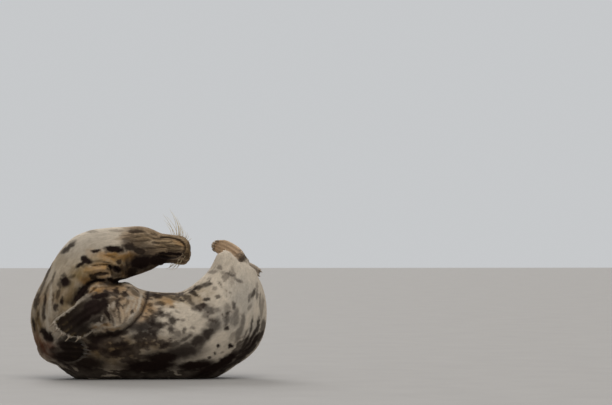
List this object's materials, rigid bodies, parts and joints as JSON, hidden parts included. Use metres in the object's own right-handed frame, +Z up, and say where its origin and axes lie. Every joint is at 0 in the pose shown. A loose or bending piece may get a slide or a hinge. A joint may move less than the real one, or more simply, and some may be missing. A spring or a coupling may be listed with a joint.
{
  "type": "grey seal",
  "caption": "Adult female grey seal at rest on her right side, belly to the viewer, curled into a C with head and hind flippers raised.",
  "frame": {"origin": "middle of the bounding box, on the floor the seal lies on", "axes": "+Z up; -Y the belly side; +X the way the muzzle points, along the longest extent"},
  "size_m": [1.109, 0.4656, 0.7798],
  "materials": {
    "pale_fur": "short flat fur, pale cream with dark brown blotches",
    "dark_fur": "short dark brown fur on thin flippers",
    "eye": "wet near-black eye",
    "claw": "satin horn",
    "whisker": "pale stiff hair"
  },
  "bodies": {
    "root": {"belly": "pale_fur", "chest": "pale_fur", "head": "pale_fur", "hips": "pale_fur", "left_eye": "eye", "left_fore_claw_1": "claw", "left_fore_claw_2": "claw", "left_fore_claw_3": "claw", "left_fore_claw_4": "claw", "left_fore_claw_5": "claw", "left_fore_flipper": "dark_fur", "left_hind_claw_1": "claw", "left_hind_claw_2": "claw", "left_hind_claw_3": "claw", "left_hind_claw_4": "claw", "left_hind_claw_5": "claw", "left_hind_flipper": "dark_fur", "left_whisker_1": "whisker", "left_whisker_2": "whisker", "left_whisker_3": "whisker", "left_whisker_4": "whisker", "left_whisker_5": "whisker", "left_whisker_6": "whisker", "loin": "pale_fur", "neck": "pale_fur", "right_eye": "eye", "right_fore_claw_1": "claw", "right_fore_claw_2": "claw", "right_fore_claw_3": "claw", "right_fore_claw_4": "claw", "right_fore_claw_5": "claw", "right_fore_flipper": "dark_fur", "right_hind_claw_1": "claw", "right_hind_claw_2": "claw", "right_hind_claw_3": "claw", "right_hind_claw_4": "claw", "right_hind_claw_5": "claw", "right_hind_flipper": "dark_fur", "right_whisker_1": "whisker", "right_whisker_2": "whisker", "right_whisker_3": "whisker", "right_whisker_4": "whisker", "right_whisker_5": "whisker", "right_whisker_6": "whisker", "tail": "dark_fur"}
  },
  "joints": []
}
